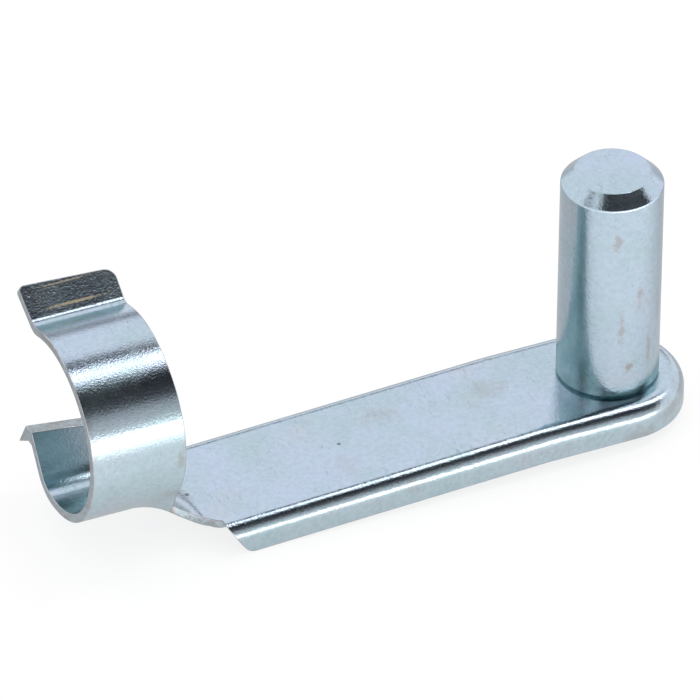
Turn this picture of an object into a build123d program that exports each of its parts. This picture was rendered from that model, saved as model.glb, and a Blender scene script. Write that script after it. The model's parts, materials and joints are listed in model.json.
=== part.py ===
from build123d import *
import os
from math import cos, radians, sin, tan

# Spring clevis bolt for a 10 x 40 fork head: a turned pin riveted into a clip that is pressed and
# rolled from one piece of spring steel sheet. Millimetres. The origin is on the pin's axis, in the
# upper face of the clip's pad. +Z runs up the pin, -X runs along the arm towards the open ring, and
# the ring's mouth faces +Y.

os.makedirs("parts", exist_ok=True)

# ---- driving dimensions -------------------------------------------------------------------------
PIN_RADIUS = 5.0
PIN_LENGTH = 23.5           # from the pad's upper face to the nose
NOSE_CHAMFER = 1.25
NOSE_EASE = 0.25            # soft edge where the nose chamfer meets the shank
NOSE_FACE_EASE = 0.12       # and where it meets the flat nose
FOOT_INSET = 0.35           # small chamfer at the pin's foot: how far in
FOOT_RISE = 0.3             # and how far up
TENON_RADIUS = 3.2          # turned-down end that passes through the pad
RIVET_RADIUS = 4.6
RIVET_HEIGHT = 1.3
RIVET_FLAT = 2.3            # radius of the flat on the hammered head
RIVET_SHOULDER = (3.956, 0.442)  # radius and height of a point on the curve round it

SHEET = 0.9                 # thickness of the spring steel
TRAY_WIDTH = 15.0
TRAY_DEPTH = 3.35           # pad's upper face to the edge of the turned-down rim
TRAY_BEND = 1.8             # outer radius between face and rim
PAD_LENGTH = 9.0            # level length behind the pin axis
ARM_SLOPE = 2.34            # degrees that the arm falls away from the pad
ARM_BEND = 36.0             # radius over which it starts to fall
RIM_TOP_END = 32.85         # rim's end measured along the arm from the end of that bend
RIM_FOOT_END = 30.85
RIM_CORNER = 1.4
CUT_PAST = 1.0              # cutting shapes and overlaps reach this far past the faces they meet
LEVEL_WITHIN = 1e-6         # points that differ less than this in height lie level

RING_RIGHT = -47.9          # X of the ring's edge nearer the pin
RING_WIDTH = 9.6
RING_FOOT_Y = 2.4           # lowest point of the strip's centre line
RING_FOOT_Z = -0.3
LOWER_RADIUS = 9.7          # centre-line radii from the lowest point up the near wall and over
LOWER_TURN = 90.0
SIDE_RADIUS = 8.1
SIDE_TURN = 45.4
CROWN_RADIUS = 10.05
CROWN_TURN = 65.5
VALLEY_RADIUS = 1.75        # reverse bend between the ring and its thumb tab
VALLEY_TURN = 57.0
TAB_LENGTH = 3.5            # along the tab at the ring's free edge
TAB_SKEW = 0.5              # the tab is this much shorter at the edge nearer the pin
TAB_FLARE = 0.2             # the tab widens by this much at the ring's free edge
TAB_CORNERS = (0.6, 1.2)    # radii at the free edge and at the edge nearer the pin
HEEL_RADIUS = 3.5           # tight bend below the mouth
HEEL_TURN = 53.5
LEG_LENGTH = 3.9            # straight lower leg, to the crease at its lip
LIP_SKEW = 1.0              # the lip sits this much lower at the edge nearer the pin
LIP_CREST = (4.65, -0.85)   # lip's corners, along the leg and outwards from its middle
LIP_EDGE = (3.25, -3.9)
LIP_THROAT = (3.15, -1.15)
LIP_ROOT = 0.5              # the throat's line starts this far back along the leg
LIP_LAP = 0.2               # and the lip's sheet this far past its skew

NECK_FLAT_END = -44.2       # X where the arm's sheet begins to rise towards the ring
NECK_HALF_WIDTH = 4.95      # there
NOTCH_POINT = (-43.78, -5.4)  # on the arc cut from there to the rim
WIDENING_LAG = 20           # the neck keeps its width until close to the arm
FLARE_START = -52.5         # X where the ring's foot begins to be drawn down into the neck
FLARE_LAG = 1.35            # greater than 1 keeps more of the rise near the arm
FLARE_TOP = 53.0            # degrees up the near wall where the drawn-down patch begins
NECK_TOP = 40.5             # degrees up the near wall where the neck's edge meets the ring
NECK_HEEL = 33.0            # degrees up the heel bend where the neck's other edge meets the ring
FLARE_HEEL = 52.0           # and where the patch ends
SIDE_SHARE = 0.4            # how far the sheet halfway between neck and ring follows the neck
FOOT_STEPS = 3              # sections along the patch
NECK_STEPS = 4              # and along the neck

# ---- values that follow from them ---------------------------------------------------------------
half_width = TRAY_WIDTH / 2
ring_left = RING_RIGHT - RING_WIDTH
slope = radians(ARM_SLOPE)
arm_start_x = -PAD_LENGTH - ARM_BEND * sin(slope)
arm_start_z = -ARM_BEND * (1 - cos(slope))
along_arm = Vector(-cos(slope), 0, -sin(slope))


def arm_top(x):
    """Height of the straight arm's upper face at x."""
    return arm_start_z - (arm_start_x - x) * tan(slope)


# ---- clevis pin ---------------------------------------------------------------------------------
with BuildPart() as clevis_pin:
    with BuildSketch(Plane.XZ) as pin_profile:
        rivet_foot = -SHEET - RIVET_HEIGHT
        with BuildLine():
            Line((0, rivet_foot), (RIVET_FLAT, rivet_foot))
            ThreePointArc(
                (RIVET_FLAT, rivet_foot),
                (RIVET_SHOULDER[0], rivet_foot + RIVET_SHOULDER[1]),
                (RIVET_RADIUS, -SHEET),
            )
            Polyline(
                (RIVET_RADIUS, -SHEET),
                (TENON_RADIUS, -SHEET),
                (TENON_RADIUS, 0),
                (PIN_RADIUS - FOOT_INSET, 0),
                (PIN_RADIUS, FOOT_RISE),
                (PIN_RADIUS, PIN_LENGTH - NOSE_CHAMFER),
                (PIN_RADIUS - NOSE_CHAMFER, PIN_LENGTH),
                (0, PIN_LENGTH),
                (0, rivet_foot),
            )
        make_face()
    revolve(axis=Axis.Z)
    nose_edges = clevis_pin.edges().filter_by(GeomType.CIRCLE).group_by(Axis.Z)
    fillet(nose_edges[-2], radius=NOSE_EASE)
    nose_edges = clevis_pin.edges().filter_by(GeomType.CIRCLE).group_by(Axis.Z)
    fillet(nose_edges[-1], radius=NOSE_FACE_EASE)
clevis_pin.part.label = "clevis_pin"
export_step(clevis_pin.part, "parts/clevis_pin.step")


# ---- spring clip --------------------------------------------------------------------------------
def half_tray_section(origin, out_of_plane):
    """One side of the tray's section: upper face, bend and turned-down rim, towards -Y."""
    with BuildSketch(Plane(origin=origin, x_dir=(0, -1, 0), z_dir=out_of_plane)) as section:
        Rectangle(half_width, TRAY_DEPTH, align=(Align.MIN, Align.MAX))
        outer_corner = section.vertices().sort_by(Axis.X)[-2:].sort_by(Axis.Y)[-1]
        fillet(outer_corner, radius=TRAY_BEND)
        with BuildSketch(mode=Mode.PRIVATE) as hollow:
            with Locations((0, -SHEET)):
                Rectangle(half_width - SHEET, TRAY_DEPTH, align=(Align.MIN, Align.MAX))
            inner_corner = hollow.vertices().sort_by(Axis.X)[-2:].sort_by(Axis.Y)[-1]
            fillet(inner_corner, radius=TRAY_BEND - SHEET)
        add(hollow.sketch, mode=Mode.SUBTRACT)
    return section.sketch


def under_ring(degrees_up):
    """Point of the ring's outer face above its foot on the near wall, and its slope in degrees."""
    radius = LOWER_RADIUS + SHEET / 2
    a = radians(degrees_up)
    z = RING_FOOT_Z + LOWER_RADIUS - radius * cos(a)
    return (RING_FOOT_Y - radius * sin(a), z, -degrees_up)


def under_heel(degrees_up):
    """The same on the heel bend, towards the mouth."""
    radius = HEEL_RADIUS + SHEET / 2
    a = radians(degrees_up)
    return (RING_FOOT_Y + radius * sin(a), RING_FOOT_Z + HEEL_RADIUS - radius * cos(a), degrees_up)


def drawn_down(x, knots, flat_ys, shares):
    """Knots on the sheet's under face at x, moved from the ring's curve towards the flat arm, each
    with its slope and the sheet's thickness square to it."""
    travel = ((x - FLARE_START) / (NECK_FLAT_END - FLARE_START)) ** FLARE_LAG
    eased = travel * travel * (3 - 2 * travel)
    upright_sheet = SHEET / cos(slope)
    flat_z = arm_top(x) - upright_sheet
    moved = []
    for (y, z, tilt), flat_y, share in zip(knots, flat_ys, shares):
        part = eased * share
        widened = y + (flat_y - y) * part ** WIDENING_LAG
        thickness = SHEET + (upright_sheet - SHEET) * part
        moved.append((widened, z + (flat_z - z) * part, tilt * (1 - part), thickness))
    return moved


def sheet_across(x, knots):
    """Section of the sheet at x: arcs through the knots, straight where they lie level."""
    under = [(y, z) for y, z, tilt, thickness in knots]
    upper = [(y - t * sin(radians(tilt)), z + t * cos(radians(tilt))) for y, z, tilt, t in knots]
    level = max(z for y, z in under) - min(z for y, z in under) < LEVEL_WITHIN
    edges = []
    with BuildLine(Plane(origin=(x, 0, 0), x_dir=(0, 1, 0), z_dir=(1, 0, 0))):
        for row in (under, upper[::-1]):
            for i in range(0, len(row) - 1, 2):
                if level:
                    edges.append(Line(row[i], row[i + 2], mode=Mode.PRIVATE))
                else:
                    edges.append(ThreePointArc(*row[i : i + 3], mode=Mode.PRIVATE))
            end = upper[-1] if row[-1] == under[-1] else under[0]
            edges.append(Line(row[-1], end, mode=Mode.PRIVATE))
    return Face(Wire(edges))


# The ring's foot is drawn down and forwards into the neck: on both sides of it the sheet's bend
# passes over from the neck, at full share, to the ring, at none.
near_wall = [under_ring(a) for a in (FLARE_TOP, (FLARE_TOP + NECK_TOP) / 2)]
neck_root = [under_ring(NECK_TOP), under_ring(NECK_TOP / 2), under_ring(0)]
neck_root += [under_heel(NECK_HEEL / 2), under_heel(NECK_HEEL)]
heel_side = [under_heel(a) for a in ((FLARE_HEEL + NECK_HEEL) / 2, FLARE_HEEL)]
neck_ys = (-NECK_HALF_WIDTH, (RING_FOOT_Y - NECK_HALF_WIDTH) / 2, RING_FOOT_Y)
neck_ys += ((RING_FOOT_Y + NECK_HALF_WIDTH) / 2, NECK_HALF_WIDTH)
foot_ys = tuple(y for y, z, tilt in near_wall) + neck_ys + tuple(y for y, z, tilt in heel_side)
foot_shares = (0, SIDE_SHARE, 1, 1, 1, 1, 1, SIDE_SHARE, 0)
foot_sections = []
for i in range(FOOT_STEPS + 1):
    x = FLARE_START + (RING_RIGHT - FLARE_START) * i / FOOT_STEPS
    knots = drawn_down(x, near_wall + neck_root + heel_side, foot_ys, foot_shares)
    foot_sections.append(sheet_across(x, knots))
neck_sections = []
for i in range(NECK_STEPS + 1):
    x = RING_RIGHT + (NECK_FLAT_END - RING_RIGHT) * i / NECK_STEPS
    neck_sections.append(sheet_across(x, drawn_down(x, neck_root, neck_ys, foot_shares[2:7])))

with BuildPart() as spring_clip:
    # Tray: half of the round end, the level pad, the soft bend and the sloping arm, then its mirror.
    revolve(half_tray_section((0, 0, 0), (-1, 0, 0)), axis=Axis.Z, revolution_arc=90)
    extrude(half_tray_section((0, 0, 0), (-1, 0, 0)), amount=PAD_LENGTH)
    bend_axis = Axis((-PAD_LENGTH, 0, -ARM_BEND), (0, -1, 0))
    revolve(half_tray_section((-PAD_LENGTH, 0, 0), (-1, 0, 0)), axis=bend_axis, revolution_arc=ARM_SLOPE)
    extrude(half_tray_section((arm_start_x, 0, arm_start_z), along_arm), amount=RIM_TOP_END + CUT_PAST)
    # The rim's end is cut on a slope and its lower corner is rounded.
    arm_side = Plane(origin=(arm_start_x, 0, arm_start_z), x_dir=along_arm, z_dir=(0, 1, 0))
    run = (RIM_TOP_END - RIM_FOOT_END) / TRAY_DEPTH
    with BuildSketch(arm_side) as beyond_rim:
        with BuildLine():
            Polyline(
                (RIM_TOP_END + run * CUT_PAST, CUT_PAST),
                (RIM_FOOT_END - run * CUT_PAST, -TRAY_DEPTH - CUT_PAST),
                (RIM_TOP_END + 3 * CUT_PAST, -TRAY_DEPTH - CUT_PAST),
                (RIM_TOP_END + 3 * CUT_PAST, CUT_PAST),
                close=True,
            )
        make_face()
    extrude(amount=half_width + CUT_PAST, both=True, mode=Mode.SUBTRACT)
    rim_corner = spring_clip.edges().filter_by(Axis.Y).group_by(Axis.Z)[0].sort_by(Axis.X)[0]
    fillet(rim_corner, radius=RIM_CORNER)
    mirror(about=Plane.XZ)
    # Flat end of the arm between the rims' ends, cut in from each side to the neck.
    shoulder = half_width - TRAY_BEND
    rim_end_x = arm_start_x - RIM_TOP_END * cos(slope)
    inside_tray_x = rim_end_x + 2 * CUT_PAST
    with BuildSketch(Plane.XZ) as arm_end:
        with BuildLine():
            Polyline(
                (inside_tray_x, arm_top(inside_tray_x)),
                (NECK_FLAT_END, arm_top(NECK_FLAT_END)),
                (NECK_FLAT_END, arm_top(NECK_FLAT_END) - SHEET / cos(slope)),
                (inside_tray_x, arm_top(inside_tray_x) - SHEET / cos(slope)),
                close=True,
            )
        make_face()
    extrude(amount=shoulder, both=True)
    with BuildSketch(Plane.XY.offset(-TRAY_DEPTH)) as notches:
        with BuildLine():
            ThreePointArc((rim_end_x, -shoulder), NOTCH_POINT, (NECK_FLAT_END, -NECK_HALF_WIDTH))
            Polyline(
                (NECK_FLAT_END, -NECK_HALF_WIDTH),
                (NECK_FLAT_END, -shoulder - CUT_PAST),
                (rim_end_x, -shoulder - CUT_PAST),
                (rim_end_x, -shoulder),
            )
        make_face()
        mirror(about=Plane.XZ)
    extrude(amount=TRAY_DEPTH, mode=Mode.SUBTRACT)
    # Ring: near wall, crown and the reverse bend on one side, the heel on the other.
    ring_plane = Plane(origin=(ring_left, 0, 0), x_dir=(0, 1, 0), z_dir=(1, 0, 0))
    foot = (RING_FOOT_Y, RING_FOOT_Z)
    with BuildSketch(ring_plane) as strip:
        with BuildLine(mode=Mode.PRIVATE) as over_the_top:
            lower = JernArc(foot, (-1, 0), LOWER_RADIUS, -LOWER_TURN)
            side = JernArc(lower @ 1, lower % 1, SIDE_RADIUS, -SIDE_TURN)
            crown = JernArc(side @ 1, side % 1, CROWN_RADIUS, -CROWN_TURN)
            valley = JernArc(crown @ 1, crown % 1, VALLEY_RADIUS, VALLEY_TURN)
        with BuildLine(mode=Mode.PRIVATE) as under_the_mouth:
            heel = JernArc(foot, (1, 0), HEEL_RADIUS, HEEL_TURN)
            leg = PolarLine(heel @ 1, LEG_LENGTH / 2, direction=heel % 1)
        trace(over_the_top.edges(), line_width=SHEET)
        trace(under_the_mouth.edges(), line_width=SHEET)
    extrude(amount=RING_WIDTH)
    # Thumb tab: its free edge is slanted and has rounded corners.
    across = Vector(1, 0, 0)
    tab_root = ring_plane.from_local_coords(valley @ 1)
    tab_along = ring_plane.from_local_coords(valley % 1) - ring_plane.origin
    with BuildSketch(Plane(origin=tab_root, x_dir=across, z_dir=across.cross(tab_along))) as tab:
        with BuildLine():
            Polyline(
                (0, 0),
                (RING_WIDTH, 0),
                (RING_WIDTH, TAB_LENGTH - TAB_SKEW),
                (-TAB_FLARE, TAB_LENGTH),
                close=True,
            )
        make_face()
        for side, radius in enumerate(TAB_CORNERS):
            fillet(tab.vertices().sort_by(Axis.Y)[-2:].sort_by(Axis.X)[side], radius=radius)
    extrude(amount=SHEET / 2, both=True)
    # Lip: the leg's end, creased outwards. Its line across the ring is slanted.
    leg_along = ring_plane.from_local_coords(heel % 1) - ring_plane.origin
    leg_plane = Plane(origin=ring_plane.from_local_coords(heel @ 1), x_dir=leg_along, z_dir=across)
    with BuildSketch(leg_plane) as lip:
        with BuildLine():
            Polyline(
                (LIP_SKEW + LIP_LAP, SHEET / 2),
                (LEG_LENGTH, SHEET / 2),
                LIP_CREST,
                LIP_EDGE,
                LIP_THROAT,
                (LIP_THROAT[0] - LIP_ROOT, -SHEET / 2),
                (LIP_SKEW + LIP_LAP, -SHEET / 2),
                close=True,
            )
        make_face()
    lip_run = across * RING_WIDTH - leg_along * LIP_SKEW
    extrude(amount=lip_run.length, dir=lip_run)
    # The ring's foot and the neck.
    extrude(foot_sections[0], amount=RING_RIGHT - FLARE_START, mode=Mode.SUBTRACT)
    loft(foot_sections)
    loft(neck_sections)
    # Hole for the pin's tenon.
    with Locations((0, 0, 0)):
        Hole(radius=TENON_RADIUS, depth=TRAY_DEPTH)
spring_clip.part.label = "spring_clip"
export_step(spring_clip.part, "parts/spring_clip.step")
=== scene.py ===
import json
from math import cos, pi, radians, sin

import bpy
from mathutils import Matrix, Vector

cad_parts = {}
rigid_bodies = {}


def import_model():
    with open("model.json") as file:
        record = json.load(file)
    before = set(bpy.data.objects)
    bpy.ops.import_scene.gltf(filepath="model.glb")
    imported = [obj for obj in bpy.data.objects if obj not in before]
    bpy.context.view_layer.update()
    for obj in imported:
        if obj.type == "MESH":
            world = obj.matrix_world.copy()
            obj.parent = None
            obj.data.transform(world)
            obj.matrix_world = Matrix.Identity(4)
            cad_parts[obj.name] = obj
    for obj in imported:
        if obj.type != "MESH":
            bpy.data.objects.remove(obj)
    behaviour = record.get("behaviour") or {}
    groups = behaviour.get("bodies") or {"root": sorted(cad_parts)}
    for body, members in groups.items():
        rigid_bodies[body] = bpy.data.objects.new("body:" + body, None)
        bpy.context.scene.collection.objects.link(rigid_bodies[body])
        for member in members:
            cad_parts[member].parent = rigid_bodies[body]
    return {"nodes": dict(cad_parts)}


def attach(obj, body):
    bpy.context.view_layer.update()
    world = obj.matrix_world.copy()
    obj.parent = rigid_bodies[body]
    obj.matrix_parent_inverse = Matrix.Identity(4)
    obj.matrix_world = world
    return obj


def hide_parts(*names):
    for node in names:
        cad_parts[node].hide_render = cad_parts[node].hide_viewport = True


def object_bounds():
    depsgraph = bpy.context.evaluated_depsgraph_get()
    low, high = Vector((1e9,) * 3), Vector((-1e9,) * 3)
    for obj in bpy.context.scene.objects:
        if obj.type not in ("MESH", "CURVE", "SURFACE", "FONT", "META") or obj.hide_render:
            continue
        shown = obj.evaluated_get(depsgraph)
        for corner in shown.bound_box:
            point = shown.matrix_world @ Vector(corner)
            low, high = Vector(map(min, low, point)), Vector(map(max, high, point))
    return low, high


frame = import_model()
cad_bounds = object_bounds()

bl_info = {
    "name": "Spring Clevis Bolt",
    "version": (1, 0, 0),
    "blender": (4, 5, 0),
    "location": "View3D > Sidebar > Clevis Bolt",
    "description": "Bright zinc spring clip with a riveted clevis pin, and a plain studio to look at it in",
    "category": "Object",
}

MM = 0.001
PIN_NODE = "clevis_pin"
CLIP_NODE = "spring_clip"
SHEET = 0.9 * MM

SHEET_FACE, CUT_EDGE, ROUNDED_EDGE = range(3)  # material slots of the clip
WELD_WITHIN = 0.001 * MM
PROBE_START = 0.02 * MM         # how far under a face the measure of the steel's thickness starts
ONE_SHEET = 1.5 * SHEET         # steel thinner than this has a face of the sheet on both sides
SAME_WAY = 0.5                  # two directions whose product is greater than this point alike
LEVEL_ANGLE = radians(0.4)      # facets that meet at less than this are one flat face
SHARP_ANGLE = radians(48)       # edges that turn more than this are rounded
FLAT_WEIGHT = 100               # how strongly large flat faces set the shading beside them


# ---- settings ------------------------------------------------------------------------------------
class ClipSettings(bpy.types.PropertyGroup):
    """Sizes of the pressed clip's edges."""

    edge_round: bpy.props.FloatProperty(
        name="Edge Rounding",
        description="How far the pressed sheet's cut edges are rounded",
        default=0.1 * MM,
        min=0.0,
        max=0.4 * MM,
        subtype="DISTANCE",
        unit="LENGTH",
        precision=5,
    )
    edge_steps: bpy.props.IntProperty(
        name="Edge Steps",
        description="Facets across each rounded edge",
        default=3,
        min=1,
        max=6,
    )
    shade_angle: bpy.props.FloatProperty(
        name="Smooth Below",
        description="Faces that meet at less than this angle are shaded smooth",
        default=radians(40),
        subtype="ANGLE",
    )


class ZincSettings(bpy.types.PropertyGroup):
    """Colours and gloss of the bright zinc plating."""

    pale: bpy.props.FloatVectorProperty(
        name="Pale Zinc",
        description="Clean zinc on the sides and undersides",
        default=(0.53, 0.64, 0.71),
        subtype="COLOR",
    )
    # Painted reflection: faces that point up get this bluer colour, which stands for the pale sky mirrored
    # in them.
    blue: bpy.props.FloatVectorProperty(
        name="Blue Zinc",
        description="Bluer film on the faces that dried facing up",
        default=(0.53, 0.63, 0.78),
        subtype="COLOR",
    )
    teal: bpy.props.FloatVectorProperty(
        name="Teal Film",
        description="Where the passivation film is thicker",
        default=(0.47, 0.62, 0.67),
        subtype="COLOR",
    )
    warm: bpy.props.FloatVectorProperty(
        name="Warm Film",
        description="Faint pink-brown haze",
        default=(0.57, 0.60, 0.66),
        subtype="COLOR",
    )
    # Mirrored in glossy rays, and also painted as a dark reflection patch on the neck.
    deep: bpy.props.FloatVectorProperty(
        name="Mirrored Film",
        description="Zinc where it is mirrored in zinc",
        default=(0.23, 0.37, 0.38),
        subtype="COLOR",
    )
    stain: bpy.props.FloatVectorProperty(
        name="Stain",
        description="Dried rinse marks and first rust bloom",
        default=(0.36, 0.25, 0.18),
        subtype="COLOR",
    )
    rub: bpy.props.FloatVectorProperty(
        name="Rub Line",
        description="Straw-coloured lines that the press tool rubbed",
        default=(0.62, 0.50, 0.32),
        subtype="COLOR",
    )
    speck: bpy.props.FloatVectorProperty(
        name="Specks",
        description="Pits and short scratches",
        default=(0.12, 0.14, 0.16),
        subtype="COLOR",
    )
    steel: bpy.props.FloatVectorProperty(
        name="Sheared Edge",
        description="Duller zinc over the torn steel of the cut edges",
        default=(0.42, 0.44, 0.46),
        subtype="COLOR",
    )
    gloss_rough: bpy.props.FloatProperty(
        name="Bright Roughness",
        description="Roughness of the brightest plating",
        default=0.12,
        min=0.0,
        max=1.0,
    )
    satin_rough: bpy.props.FloatProperty(
        name="Satin Roughness",
        description="Roughness of the cloudy plating",
        default=0.19,
        min=0.0,
        max=1.0,
    )


class StageSettings(bpy.types.PropertyGroup):
    """Floor, lamps and camera."""

    floor_tone: bpy.props.FloatVectorProperty(
        name="Floor",
        description="Colour of the plain floor",
        default=(0.22, 0.22, 0.22),
        subtype="COLOR",
    )
    floor_lift: bpy.props.FloatProperty(
        name="Floor Lift",
        description="Brightness added to the floor where it is seen or mirrored",
        default=0.79,
        min=0.0,
        max=1.0,
    )
    # Painted shade: the floor that the metal mirrors is darker near the part, standing for the part's shade
    # on it.
    floor_near: bpy.props.FloatProperty(
        name="Floor Near The Part",
        description="Brightness added to the floor behind the part where the metal mirrors it",
        default=0.38,
        min=0.0,
        max=1.0,
    )
    floor_glare: bpy.props.FloatProperty(
        name="Floor Glare",
        description="Extra brightness of the lamp's patch on the floor, seen only in the metal",
        default=0.8,
        min=0.0,
        max=2.0,
    )
    world_level: bpy.props.FloatProperty(
        name="Studio Level",
        description="Level of the even white light from all round, 1 is white",
        default=1.0,
        min=0.0,
        max=2.0,
    )
    card_tone: bpy.props.FloatProperty(
        name="Card Tone",
        description="How bright the darkest part of the cards looks in the metal",
        default=0.03,
        min=0.0,
        max=1.0,
    )
    lens: bpy.props.FloatProperty(
        name="Lens",
        description="Focal length in millimetres on a 36 mm sensor",
        default=643.4,
        min=50.0,
    )


# ---- node helpers --------------------------------------------------------------------------------
# Sockets of the Mix node, which has a set for each kind of value.
MIX_FACTOR = 0
MIX_NUMBERS, MIX_NUMBER_OUT = (2, 3), 0
MIX_COLOURS, MIX_COLOUR_OUT = (6, 7), 2


def fill(tree, node, inputs):
    """Fills the node's inputs; each is given either a socket to join or a value to hold."""
    for name, value in inputs.items():
        socket = node.inputs[name]
        if isinstance(value, bpy.types.NodeSocket):
            tree.links.new(value, socket)
        else:
            socket.default_value = value


def put(tree, kind, inputs=None, **properties):
    """Adds a node with its properties set and its inputs filled."""
    node = tree.nodes.new(kind)
    for name, value in properties.items():
        setattr(node, name, value)
    fill(tree, node, inputs or {})
    return node


def rgba(colour):
    """The colour with full opacity."""
    return (*colour[:3], 1.0)


def start_group(name, inputs, outputs):
    """A new shader node group with the named sockets."""
    tree = bpy.data.node_groups.new(name, "ShaderNodeTree")
    for label, kind in inputs:
        tree.interface.new_socket(name=label, in_out="INPUT", socket_type="NodeSocket" + kind)
    for label, kind in outputs:
        tree.interface.new_socket(name=label, in_out="OUTPUT", socket_type="NodeSocket" + kind)
    return tree, put(tree, "NodeGroupInput").outputs, put(tree, "NodeGroupOutput").inputs


def calc(tree, operation, a, b=None, c=None):
    """Math node; returns its output."""
    inputs = {0: a}
    if b is not None:
        inputs[1] = b
    if c is not None:
        inputs[2] = c
    return put(tree, "ShaderNodeMath", inputs, operation=operation).outputs[0]


def blend(tree, factor, a, b, how="MIX"):
    """Colour mix; returns its output."""
    inputs = {MIX_FACTOR: factor, MIX_COLOURS[0]: a, MIX_COLOURS[1]: b}
    node = put(tree, "ShaderNodeMix", inputs, data_type="RGBA", blend_type=how)
    return node.outputs[MIX_COLOUR_OUT]


def between(tree, factor, a, b):
    """Number mix; returns its output."""
    inputs = {MIX_FACTOR: factor, MIX_NUMBERS[0]: a, MIX_NUMBERS[1]: b}
    return put(tree, "ShaderNodeMix", inputs).outputs[MIX_NUMBER_OUT]


def step_between(tree, value, low, high, to_low=0.0, to_high=1.0):
    """Smooth step of value from low to high; returns its output."""
    inputs = {"Value": value, "From Min": low, "From Max": high, "To Min": to_low, "To Max": to_high}
    return put(tree, "ShaderNodeMapRange", inputs, interpolation_type="SMOOTHSTEP").outputs[0]


def noise(tree, vector, scale, detail=2.0, rough=0.5):
    """Noise texture; returns its output."""
    inputs = {"Vector": vector, "Scale": scale, "Detail": detail, "Roughness": rough}
    return put(tree, "ShaderNodeTexNoise", inputs).outputs["Fac"]


def stretched(tree, vector, scale, turn=(0.0, 0.0, 0.0), shift=(0.0, 0.0, 0.0)):
    """The vector scaled by a different amount on each axis, then turned and shifted."""
    inputs = {"Vector": vector, "Scale": scale, "Rotation": turn, "Location": shift}
    return put(tree, "ShaderNodeMapping", inputs, vector_type="POINT").outputs[0]


# ---- shared effects ------------------------------------------------------------------------------
def make_zinc_tone():
    """Cloudy blue-white plating: its colour and roughness."""
    inputs = [("Vector", "Vector"), ("Pale", "Color"), ("Teal", "Color"), ("Warm", "Color")]
    inputs += [("Cloud Scale", "Float"), ("Grain Scale", "Float"), ("Bright", "Float"), ("Satin", "Float")]
    outputs = [("Color", "Color"), ("Roughness", "Float")]
    tree, given, result = start_group("zinc_tone", inputs, outputs)
    place = given["Vector"]
    cloud = noise(tree, place, given["Cloud Scale"], detail=3.0, rough=0.6)
    cloud = step_between(tree, cloud, 0.36, 0.66)
    moved = stretched(tree, place, (0.7, 0.8, 0.9), shift=(0.3, 0.1, 0.2))
    haze = noise(tree, moved, given["Cloud Scale"], detail=4.0, rough=0.65)
    haze = step_between(tree, haze, 0.52, 0.74, 0.0, 0.6)
    grain = noise(tree, place, given["Grain Scale"], detail=3.0, rough=0.7)
    colour = blend(tree, cloud, given["Pale"], given["Teal"])
    colour = blend(tree, haze, colour, given["Warm"])
    shade = step_between(tree, grain, 0.3, 0.7, 0.93, 1.04)
    shaded = blend(tree, 1.0, colour, shade, how="MULTIPLY")
    rough = between(tree, cloud, given["Bright"], given["Satin"])
    rough = calc(tree, "MULTIPLY_ADD", calc(tree, "SUBTRACT", grain, 0.5), 0.10, rough)
    tree.links.new(shaded, result["Color"])
    tree.links.new(rough, result["Roughness"])
    return tree


def make_plating_ripple():
    """Height of the plating: slow waves of the pressed sheet under a fine orange peel."""
    inputs = [("Vector", "Vector"), ("Wave Scale", "Float"), ("Wave", "Float")]
    inputs += [("Peel Scale", "Float"), ("Peel", "Float")]
    tree, given, result = start_group("plating_ripple", inputs, [("Height", "Float")])
    wave = noise(tree, given["Vector"], given["Wave Scale"], detail=1.0)
    peel = noise(tree, given["Vector"], given["Peel Scale"], detail=3.0, rough=0.6)
    height = calc(tree, "MULTIPLY", wave, given["Wave"])
    height = calc(tree, "MULTIPLY_ADD", peel, given["Peel"], height)
    tree.links.new(height, result["Height"])
    return tree


def make_scuffs():
    """Masks of small pits and of short hair scratches from the barrel that the part was plated in."""
    inputs = [("Vector", "Vector"), ("Pit Scale", "Float"), ("Scratch Scale", "Float"), ("Amount", "Float")]
    tree, given, result = start_group("scuffs", inputs, [("Pits", "Float"), ("Scratches", "Float")])
    place = given["Vector"]
    pits = noise(tree, place, given["Pit Scale"], detail=2.0, rough=0.6)
    rare = noise(tree, place, 260.0, detail=1.0)
    pits = calc(tree, "MULTIPLY", step_between(tree, pits, 0.66, 0.72), step_between(tree, rare, 0.5, 0.64))
    lines = []
    for turn, shift in ((0.5, 0.1), (-0.9, 0.4), (1.9, 0.7)):
        along = stretched(tree, place, (1.0, 0.13, 1.0), turn=(0.2, 0.1, turn), shift=(shift, shift, 0.0))
        line = noise(tree, along, given["Scratch Scale"], detail=1.0)
        lines.append(step_between(tree, line, 0.69, 0.74))
    scratch = calc(tree, "MAXIMUM", calc(tree, "MAXIMUM", lines[0], lines[1]), lines[2])
    scratch = calc(tree, "MULTIPLY", scratch, step_between(tree, rare, 0.42, 0.58))
    tree.links.new(calc(tree, "MULTIPLY", pits, given["Amount"]), result["Pits"])
    tree.links.new(calc(tree, "MULTIPLY", scratch, given["Amount"]), result["Scratches"])
    return tree


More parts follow.
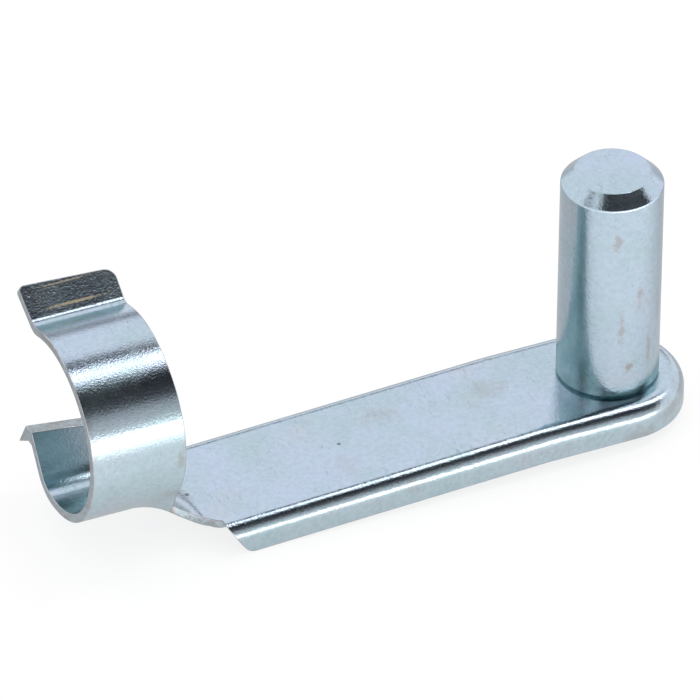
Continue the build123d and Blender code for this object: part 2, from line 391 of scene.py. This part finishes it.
def make_stain_spot():
    """Mask of one ragged mark round a centre; its reach differs on each axis."""
    inputs = [("Vector", "Vector"), ("Centre", "Vector"), ("Reach", "Vector"), ("Strength", "Float")]
    inputs += [("Ragged", "Float"), ("Ragged Scale", "Float")]
    tree, given, result = start_group("stain_spot", inputs, [("Mask", "Float")])
    ends = {0: given["Vector"], 1: given["Centre"]}
    offset = put(tree, "ShaderNodeVectorMath", ends, operation="SUBTRACT").outputs[0]
    reach = {0: offset, 1: given["Reach"]}
    share = put(tree, "ShaderNodeVectorMath", reach, operation="DIVIDE").outputs[0]
    away = put(tree, "ShaderNodeVectorMath", {0: share}, operation="LENGTH").outputs["Value"]
    ragged = noise(tree, given["Vector"], given["Ragged Scale"], detail=4.0, rough=0.7)
    away = calc(tree, "MULTIPLY_ADD", calc(tree, "SUBTRACT", ragged, 0.5), given["Ragged"], away)
    mask = step_between(tree, away, 1.05, 0.2)
    tree.links.new(calc(tree, "MULTIPLY", mask, given["Strength"]), result["Mask"])
    return tree


EFFECTS = {
    "zinc_tone": make_zinc_tone,
    "plating_ripple": make_plating_ripple,
    "scuffs": make_scuffs,
    "stain_spot": make_stain_spot,
}


def use_group(tree, name, inputs):
    """Places the shared effect, which is built the first time that it is asked for."""
    group = bpy.data.node_groups.get(name) or EFFECTS[name]()
    node = tree.nodes.new("ShaderNodeGroup")
    node.node_tree = group
    fill(tree, node, inputs)
    return node.outputs


def empty_material(name):
    """A new material with an empty node tree, and that tree."""
    material = bpy.data.materials.new(name)
    material.use_nodes = True
    material.node_tree.nodes.clear()
    return material, material.node_tree


def start_metal(name):
    """A metal material: returns it with its tree, its shader and the coordinates on the object."""
    material, tree = empty_material(name)
    shader = put(tree, "ShaderNodeBsdfPrincipled", {"Metallic": 1.0})
    put(tree, "ShaderNodeOutputMaterial", {"Surface": shader.outputs["BSDF"]})
    place = put(tree, "ShaderNodeTexCoord").outputs["Object"]
    return material, tree, shader, place


def roughen(tree, shader, height, distance, strength=1.0):
    """Bumps the metal's surface by the height, which stands for the distance at 1."""
    bump = put(tree, "ShaderNodeBump", {"Height": height, "Distance": distance, "Strength": strength})
    tree.links.new(bump.outputs[0], shader.inputs["Normal"])


def stained(tree, place, colour, stain, spots, ragged, ragged_scale):
    """The colour with the marks on it, and their mask; a spot is centre, reach and strength, in mm."""
    marks = 0.0
    for centre, reach, strength in spots:
        inputs = {
            "Vector": place,
            "Centre": [v * MM for v in centre],
            "Reach": [v * MM for v in reach],
            "Strength": strength,
            "Ragged": ragged,
            "Ragged Scale": ragged_scale,
        }
        mark = use_group(tree, "stain_spot", inputs)["Mask"]
        colour = blend(tree, mark, colour, rgba(stain))
        marks = calc(tree, "MAXIMUM", marks, mark)
    return colour, marks


def plated(name, zinc, marks, cloud_scale, peel, peel_scale, wave, least_sky_tint=0.0, streaks=None):
    """Bright zinc with clouds, haze, marks, pits and scratches over a rippled surface. Each set of
    marks is the name of its colour, its spots, how ragged they are and the scale of that."""
    material, tree, shader, place = start_metal(name)
    # Painted reflection: the colour turns bluer the more a face points up, as if tinted by the mirrored
    # sky.
    normal = put(tree, "ShaderNodeNewGeometry").outputs["Normal"]
    facing = put(tree, "ShaderNodeSeparateXYZ", {0: normal})
    faces_sky = step_between(tree, facing.outputs["Z"], 0.35, 0.9, least_sky_tint, 1.0)
    film = blend(tree, faces_sky, rgba(zinc.pale), rgba(zinc.blue))
    # Metal mirrored in metal: the film's tint deepens with the second reflection.
    again = put(tree, "ShaderNodeLightPath").outputs["Is Glossy Ray"]
    film = blend(tree, again, film, rgba(zinc.deep))
    tone = use_group(
        tree,
        "zinc_tone",
        {
            "Vector": place,
            "Pale": film,
            "Teal": blend(tree, 0.6, film, rgba(zinc.teal)),
            "Warm": rgba(zinc.warm),
            "Cloud Scale": cloud_scale,
            "Grain Scale": 1900.0,
            "Bright": zinc.gloss_rough,
            "Satin": zinc.satin_rough,
        },
    )
    scuffs = use_group(
        tree,
        "scuffs",
        {"Vector": place, "Pit Scale": 3200.0, "Scratch Scale": 4200.0, "Amount": 0.35},
    )
    colour, dull = tone["Color"], 0.0
    for tint, spots, ragged, ragged_scale in marks:
        colour, dulled = stained(tree, place, colour, getattr(zinc, tint), spots, ragged, ragged_scale)
        dull = calc(tree, "MAXIMUM", dull, dulled)
    colour = blend(tree, scuffs["Pits"], colour, rgba(zinc.speck))
    colour = blend(tree, scuffs["Scratches"], colour, rgba(zinc.teal), how="MULTIPLY")
    tree.links.new(colour, shader.inputs["Base Color"])
    pitted = calc(tree, "MULTIPLY", scuffs["Pits"], 0.6)
    matte = calc(tree, "MAXIMUM", pitted, calc(tree, "MULTIPLY", dull, 0.55))
    rough = calc(tree, "MAXIMUM", tone["Roughness"], matte)
    tree.links.new(rough, shader.inputs["Roughness"])
    ripple = use_group(
        tree,
        "plating_ripple",
        {"Vector": place, "Wave Scale": 150.0, "Wave": wave, "Peel Scale": peel_scale, "Peel": peel},
    )
    height = calc(tree, "MULTIPLY_ADD", scuffs["Pits"], -0.4, ripple["Height"])
    if streaks:
        drawn = noise(tree, stretched(tree, place, streaks), 1300.0, detail=2.0)
        height = calc(tree, "MULTIPLY_ADD", drawn, 0.35, height)
    roughen(tree, shader, height, 0.03 * MM)
    return material


def make_cut_edge(zinc):
    """Sheared edge of the sheet: duller, streaked and torn, with a rusty tint in places."""
    material, tree, shader, place = start_metal("zinc_cut_edge")
    torn = noise(tree, place, 2600.0, detail=4.0, rough=0.7)
    moved = stretched(tree, place, (1.0, 1.0, 1.0), shift=(0.2, 0.5, 0.1))
    patch = noise(tree, moved, 350.0, detail=3.0)
    colour = blend(tree, step_between(tree, torn, 0.35, 0.65), rgba(zinc.steel), rgba(zinc.pale))
    colour = blend(tree, step_between(tree, patch, 0.5, 0.72, 0.0, 0.55), colour, rgba(zinc.stain))
    tree.links.new(colour, shader.inputs["Base Color"])
    tree.links.new(step_between(tree, torn, 0.3, 0.7, 0.28, 0.46), shader.inputs["Roughness"])
    roughen(tree, shader, torn, 0.03 * MM)
    return material


def make_rubbed_edge(zinc):
    """Rounded edges, where the parts rub each other bright in the plating barrel."""
    material, tree, shader, place = start_metal("zinc_rubbed_edge")
    worn = noise(tree, place, 700.0, detail=3.0, rough=0.6)
    colour = blend(tree, step_between(tree, worn, 0.4, 0.62), rgba(zinc.warm), rgba(zinc.steel))
    moved = stretched(tree, place, (0.8, 0.8, 0.8), shift=(0.6, 0.2, 0.3))
    brown = noise(tree, moved, 260.0, detail=4.0)
    colour = blend(tree, step_between(tree, brown, 0.58, 0.72, 0.0, 0.5), colour, rgba(zinc.stain))
    tree.links.new(colour, shader.inputs["Base Color"])
    tree.links.new(step_between(tree, worn, 0.3, 0.7, 0.2, 0.32), shader.inputs["Roughness"])
    roughen(tree, shader, worn, 0.02 * MM, strength=0.6)
    return material


# ---- pieces --------------------------------------------------------------------------------------
# Marks on the plating, and one painted reflection, in millimetres: centre, reach on each axis and strength.
CLIP_STAINS = (
    ((-23.0, 2.6, -0.5), (2.2, 1.8, 1.5), 0.18),
    ((-12.0, 1.6, -0.1), (2.4, 1.7, 1.5), 0.20),
    ((-29.0, -3.2, -0.8), (1.4, 2.0, 1.5), 0.11),
    ((-24.0, -7.5, -1.9), (1.6, 0.8, 0.9), 0.18),
    ((0.2, -7.5, -3.0), (2.4, 1.0, 1.2), 0.25),
    ((3.6, -6.9, -1.6), (2.6, 1.8, 1.6), 0.18),
    ((5.8, -4.5, -1.2), (2.0, 2.2, 1.6), 0.20),
    ((-49.0, -6.3, 2.6), (2.0, 1.6, 2.0), 0.16),
    ((-48.3, -7.6, 9.0), (0.7, 1.2, 1.6), 0.33),
    ((-57.3, -7.6, 12.3), (0.7, 1.2, 1.2), 0.33),
    ((-57.3, -6.2, 13.5), (0.6, 1.6, 1.8), 0.24),
)
CLIP_SPECKS = (
    ((-44.7, -0.6, -1.4), (0.35, 0.35, 0.4), 0.9),
    ((-28.4, 0.2, -0.8), (0.25, 0.25, 0.4), 0.9),
    ((-46.2, 1.5, -1.3), (0.2, 0.2, 0.4), 0.6),
)
# Painted reflection: a dark teal patch at the neck's near edge, standing for the sheet's rising edge
# mirrored there.
NECK_PAINTED_REFLECTION = (((-46.8, -4.7, -1.1), (2.2, 0.8, 1.2), 0.65),)
TAB_RUBS = (
    ((-52.7, 7.67, 18.37), (4.8, 0.24, 0.24), 0.9),
    ((-53.2, 9.45, 19.66), (4.3, 0.15, 0.15), 0.7),
)
PIN_STAINS = (
    ((-1.55, -4.75, 18.4), (0.55, 0.8, 1.3), 0.38),
    ((0.9, -4.9, 11.9), (0.4, 0.8, 2.0), 0.34),
    ((-1.0, -4.9, 8.8), (0.45, 0.8, 2.3), 0.40),
    ((-0.1, -5.0, 3.6), (0.55, 0.8, 0.7), 0.55),
    ((2.1, -4.5, 5.6), (0.4, 0.8, 2.4), 0.34),
    ((3.4, -3.6, 9.0), (0.4, 0.8, 2.6), 0.22),
)


def deselect_all():
    for item in bpy.context.view_layer.objects:
        item.select_set(False)


def sheet_copy(name, node):
    """A merged copy of the pressed sheet, with its cut edges marked by their material slot."""
    piece = bpy.data.objects.new(name, node.data.copy())
    bpy.context.scene.collection.objects.link(piece)
    deselect_all()
    piece.select_set(True)
    bpy.context.view_layer.objects.active = piece
    bpy.ops.object.mode_set(mode="EDIT")
    bpy.ops.mesh.select_all(action="SELECT")
    bpy.ops.mesh.customdata_custom_splitnormals_clear()
    bpy.ops.mesh.remove_doubles(threshold=WELD_WITHIN)
    bpy.ops.object.mode_set(mode="OBJECT")
    piece.data.materials.clear()
    for slot in (SHEET_FACE, CUT_EDGE, ROUNDED_EDGE):
        piece.data.materials.append(None)
    # A face of the sheet has the steel's other side one sheet away; any other face is a cut edge.
    slots = []
    for face in piece.data.polygons:
        centre, inwards = face.center.copy(), -face.normal
        hit, spot, normal, index = piece.ray_cast(centre + inwards * PROBE_START, inwards)
        thin = hit and (spot - centre).length < ONE_SHEET and normal.dot(inwards) > SAME_WAY
        slots.append(SHEET_FACE if thin else CUT_EDGE)
    piece.data.polygons.foreach_set("material_index", slots)
    return piece


def round_edges(piece, settings):
    """Flat faces become single faces, then the sharp edges are rounded."""
    bpy.ops.object.mode_set(mode="EDIT")
    bpy.ops.mesh.select_all(action="SELECT")
    bpy.ops.mesh.dissolve_limited(angle_limit=LEVEL_ANGLE, delimit={"MATERIAL"})
    bpy.ops.object.mode_set(mode="OBJECT")
    bevel = piece.modifiers.new("edge_round", "BEVEL")
    bevel.width = settings.edge_round
    bevel.segments = settings.edge_steps
    bevel.limit_method = "ANGLE"
    bevel.angle_limit = SHARP_ANGLE
    bevel.use_clamp_overlap = False
    bevel.material = ROUNDED_EDGE
    bpy.ops.object.modifier_apply(modifier=bevel.name)
    bpy.ops.object.shade_smooth_by_angle(angle=settings.shade_angle)
    flat = piece.modifiers.new("flat_faces_stay_flat", "WEIGHTED_NORMAL")
    flat.mode = "FACE_AREA"
    flat.weight = FLAT_WEIGHT
    flat.keep_sharp = True
    bpy.ops.object.modifier_apply(modifier=flat.name)


class CLEVIS_OT_spring_clip(bpy.types.Operator):
    """Rounds the edges of the pressed spring clip and plates it"""

    bl_idname = "clevis.spring_clip"
    bl_label = "Spring Clip"

    def execute(self, context):
        settings, zinc = context.scene.clevis_clip, context.scene.clevis_zinc
        piece = sheet_copy("spring_clip_sheet", frame["nodes"][CLIP_NODE])
        round_edges(piece, settings)
        marks = (
            ("stain", CLIP_STAINS, 3.0, 900.0),
            # painted reflection on the neck, in the colour of zinc mirrored in zinc
            ("deep", NECK_PAINTED_REFLECTION, 1.5, 900.0),
            ("speck", CLIP_SPECKS, 1.0, 900.0),
            ("rub", TAB_RUBS, 1.3, 3500.0),
        )
        piece.data.materials[SHEET_FACE] = plated(
            "zinc_sheet_bright", zinc, marks, cloud_scale=170.0, peel=0.62, peel_scale=4600.0, wave=0.4
        )
        piece.data.materials[CUT_EDGE] = make_cut_edge(zinc)
        piece.data.materials[ROUNDED_EDGE] = make_rubbed_edge(zinc)
        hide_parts(CLIP_NODE)
        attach(piece, "root")
        return {"FINISHED"}


class CLEVIS_OT_pin(bpy.types.Operator):
    """Plates the turned pin"""

    bl_idname = "clevis.pin"
    bl_label = "Clevis Pin"

    def execute(self, context):
        zinc = context.scene.clevis_zinc
        node = frame["nodes"][PIN_NODE]
        marks = (("stain", PIN_STAINS, 3.4, 1100.0),)
        material = plated(
            "zinc_pin_bright",
            zinc,
            marks,
            cloud_scale=200.0,
            peel=0.6,
            peel_scale=4000.0,
            wave=0.5,
            # Painted reflection: the pin's upright sides get most of the bluer sky tint too.
            least_sky_tint=0.6,
            streaks=(1.0, 1.0, 0.12),
        )
        for holder in node.material_slots:
            holder.material = material
        return {"FINISHED"}


# ---- studio --------------------------------------------------------------------------------------
CAMERA_PLACE = Vector((-429.83, -871.35, 722.86)) * MM
CAMERA_TURN = radians(24.788)   # about the vertical, from looking along +Y towards +X
CAMERA_DIP = radians(36.590)
CAMERA_ROLL = radians(0.732)
SENSOR_WIDTH = 36.0             # millimetres
NEAREST_SEEN, FARTHEST_SEEN = 0.05, 20.0
SEEN_OFFSET = 0.215             # how far to +X the camera sees the studio mirrored in an upright sheet
FLOOR_SIZE = 6.0
FLOOR_GAP = 0.02 * MM           # between the part's lowest point and the floor
# Painted shade: the mirrored floor is darker near the part and brightens out of it towards the camera.
NEAR_BAND = (-15 * MM, 30 * MM)  # towards the camera from the pin, the mirrored floor brightens here
GLARE_BAND = (62 * MM, 90 * MM)  # and the lamp's patch on it fades in here


def studio_panel(angle, distance, x=0.0):
    """Place on a circle about the X axis: 0 degrees is +Y, 90 is overhead, 180 is the camera's side."""
    a = radians(angle)
    return Vector((x, distance * cos(a), distance * sin(a)))


def make_card_material(name, tones):
    """A card whose brightness follows its angle about the X axis, in degrees."""
    material, tree = empty_material(name)
    spot_seen = put(tree, "ShaderNodeTexCoord").outputs["Object"]
    place = put(tree, "ShaderNodeSeparateXYZ", {0: spot_seen})
    angle = calc(tree, "ARCTAN2", place.outputs["Z"], place.outputs["Y"])
    first, last = tones[0][0], tones[-1][0]
    limits = {"Value": angle, "From Min": radians(first), "From Max": radians(last)}
    ramp = put(tree, "ShaderNodeValToRGB", {"Fac": put(tree, "ShaderNodeMapRange", limits).outputs[0]})
    stops = ramp.color_ramp.elements
    ready = len(stops)
    for spot, (degrees_up, tone) in enumerate(tones):
        place_on_ramp = (degrees_up - first) / (last - first)
        stop = stops[spot] if spot < ready else stops.new(place_on_ramp)
        stop.position = place_on_ramp
        stop.color = (tone, tone, tone, 1.0)
    shine = put(tree, "ShaderNodeEmission", {"Color": ramp.outputs["Color"], "Strength": 1.0})
    put(tree, "ShaderNodeOutputMaterial", {"Surface": shine.outputs[0]})
    return material


def add_card(name, tones, distance, left, right):
    """A card that only the metal mirrors, from the first to the last angle and from left to right."""
    start, end = studio_panel(tones[0][0], distance), studio_panel(tones[-1][0], distance)
    deselect_all()
    bpy.ops.mesh.primitive_plane_add(size=1.0, location=(0.0, 0.0, 0.0))
    card = bpy.context.object
    card.name = name
    along, across = Vector((right - left, 0.0, 0.0)), end - start
    shape = Matrix((along, across, along.cross(across))).transposed().to_4x4()
    middle = (start + end) / 2 + Vector(((left + right) / 2, 0.0, 0.0))
    card.data.transform(Matrix.Translation(middle) @ shape)
    card.data.materials.append(make_card_material(name, tones))
    card.visible_camera = False
    card.visible_diffuse = False
    card.visible_shadow = False
    card.visible_transmission = False


def add_softbox(name, angle, distance, length, width, brightness, shift=0.0):
    """A long soft lamp along X that faces the part."""
    place = studio_panel(angle, distance, SEEN_OFFSET + shift)
    deselect_all()
    bpy.ops.object.light_add(type="AREA", location=place)
    lamp = bpy.context.object
    lamp.name = name
    lamp.data.shape = "RECTANGLE"
    lamp.data.size = length
    lamp.data.size_y = width
    lamp.data.energy = brightness * pi * length * width
    back = Vector((0.0, place.y, place.z)).normalized()
    side = Vector((1.0, 0.0, 0.0))
    turn = Matrix((side, back.cross(side), back)).transposed()
    lamp.rotation_euler = turn.to_euler()


def make_floor_material(stage):
    """Plain pale floor: white where it is seen; the metal mirrors a darker floor behind the part, which is
    painted shade of the part, and a lamp's patch of light further out.
    """
    material, tree = empty_material("studio_floor")
    paper = put(tree, "ShaderNodeBsdfDiffuse", {"Color": rgba(stage.floor_tone)})
    ray = put(tree, "ShaderNodeLightPath").outputs
    spot_seen = put(tree, "ShaderNodeTexCoord").outputs["Object"]
    place = put(tree, "ShaderNodeSeparateXYZ", {0: spot_seen})
    front = calc(tree, "MULTIPLY", place.outputs["Y"], -1.0)
    # Painted shade: in the metal, the floor is darker near the part.
    near = step_between(tree, front, *NEAR_BAND, stage.floor_near, stage.floor_lift)
    lit = step_between(tree, front, *GLARE_BAND, 0.0, stage.floor_glare)
    mirrored = calc(tree, "MULTIPLY", calc(tree, "ADD", near, lit), ray["Is Glossy Ray"])
    seen = calc(tree, "MAXIMUM", ray["Is Camera Ray"], ray["Is Transmission Ray"])
    lift = calc(tree, "MULTIPLY_ADD", seen, stage.floor_lift, mirrored)
    glow = put(tree, "ShaderNodeEmission", {"Strength": lift})
    both = put(tree, "ShaderNodeAddShader", {0: paper.outputs[0], 1: glow.outputs[0]})
    put(tree, "ShaderNodeOutputMaterial", {"Surface": both.outputs[0]})
    return material


class CLEVIS_OT_studio(bpy.types.Operator):
    """Sets up the plain floor, the soft lamps, the cards and the camera"""

    bl_idname = "clevis.studio"
    bl_label = "Studio"

    def execute(self, context):
        stage = context.scene.clevis_stage
        deselect_all()
        bpy.ops.mesh.primitive_plane_add(size=FLOOR_SIZE, location=(0.0, 0.0, 0.0))
        floor = context.object
        floor.name = "studio_floor"
        floor.data.transform(Matrix.Translation((0.0, 0.0, cad_bounds[0][2] - FLOOR_GAP)))
        floor.data.materials.append(make_floor_material(stage))
        # Each card's tones are its angle in degrees and its brightness there.
        dark = stage.card_tone
        overhead = ((97, 1.0), (101, 0.5), (105.5, dark), (116, dark), (134, 0.1))
        overhead += ((139, 0.42), (159, 0.72), (167, 1.0))
        gap = ((71, 1.0), (74.5, 0.02), (81.5, 0.02), (84.5, 1.0))
        far = ((20, 1.0), (22.5, 0.1), (28, 0.1), (31, 1.0))
        beside = ((84, 0.3), (112, 0.3))
        add_card("card_overhead", overhead, distance=0.5, left=-0.26, right=0.52)
        add_card("card_gap", gap, distance=0.66, left=-0.1, right=0.6)
        add_card("card_far", far, distance=0.66, left=-0.1, right=0.6)
        add_card("card_left", beside, distance=0.5, left=-0.74, right=-0.43)
        add_softbox(
            "softbox_overhead", 91.0, distance=0.62, length=0.6, width=0.13, brightness=2.5, shift=0.22
        )
        add_softbox("softbox_front", 174.5, distance=0.6, length=0.9, width=0.12, brightness=2.5)
        world = bpy.data.worlds.new("studio_white")
        context.scene.world = world
        world.use_nodes = True
        world.node_tree.nodes.clear()
        sky = put(world.node_tree, "ShaderNodeBackground", {"Strength": stage.world_level})
        sky.inputs["Color"].default_value = (1.0, 1.0, 1.0, 1.0)
        put(world.node_tree, "ShaderNodeOutputWorld", {"Surface": sky.outputs[0]})
        context.scene.view_settings.view_transform = "Standard"
        self.add_camera(context, stage)
        return {"FINISHED"}

    def add_camera(self, context, stage):
        """The viewing camera: a long lens from the front left, well above the part."""
        forward = Vector(
            (
                sin(CAMERA_TURN) * cos(CAMERA_DIP),
                cos(CAMERA_TURN) * cos(CAMERA_DIP),
                -sin(CAMERA_DIP),
            )
        )
        level = Vector((cos(CAMERA_TURN), -sin(CAMERA_TURN), 0.0))
        side = cos(CAMERA_ROLL) * level + sin(CAMERA_ROLL) * level.cross(forward)
        up = side.cross(forward)
        deselect_all()
        bpy.ops.object.camera_add(location=CAMERA_PLACE)
        camera = context.object
        camera.name = "viewing_camera"
        camera.rotation_euler = Matrix((side, up, -forward)).transposed().to_euler()
        camera.data.sensor_width = SENSOR_WIDTH
        camera.data.lens = stage.lens
        camera.data.clip_start = NEAREST_SEEN
        camera.data.clip_end = FARTHEST_SEEN
        context.scene.camera = camera


class CLEVIS_PT_panel(bpy.types.Panel):
    """Sizes, colours and the operators of the clevis bolt"""

    bl_idname = "CLEVIS_PT_panel"
    bl_label = "Clevis Bolt"
    bl_space_type = "VIEW_3D"
    bl_region_type = "UI"
    bl_category = "Clevis Bolt"

    def draw(self, context):
        layout = self.layout
        for title, holder, operators in (
            ("Clip", context.scene.clevis_clip, ("clevis.spring_clip",)),
            ("Zinc", context.scene.clevis_zinc, ("clevis.pin",)),
            ("Studio", context.scene.clevis_stage, ("clevis.studio",)),
        ):
            box = layout.box()
            box.label(text=title)
            for name in holder.bl_rna.properties.keys():
                if name not in ("rna_type", "name"):
                    box.prop(holder, name)
            for operator in operators:
                box.operator(operator)


CLASSES = (
    ClipSettings,
    ZincSettings,
    StageSettings,
    CLEVIS_OT_spring_clip,
    CLEVIS_OT_pin,
    CLEVIS_OT_studio,
    CLEVIS_PT_panel,
)


def register():
    for item in CLASSES:
        bpy.utils.register_class(item)
    bpy.types.Scene.clevis_clip = bpy.props.PointerProperty(type=ClipSettings)
    bpy.types.Scene.clevis_zinc = bpy.props.PointerProperty(type=ZincSettings)
    bpy.types.Scene.clevis_stage = bpy.props.PointerProperty(type=StageSettings)


def unregister():
    del bpy.types.Scene.clevis_stage
    del bpy.types.Scene.clevis_zinc
    del bpy.types.Scene.clevis_clip
    for item in reversed(CLASSES):
        bpy.utils.unregister_class(item)


def main():
    register()
    bpy.ops.clevis.spring_clip()
    bpy.ops.clevis.pin()
    bpy.ops.clevis.studio()
    bpy.context.view_layer.update()


if __name__ == "__main__":
    main()
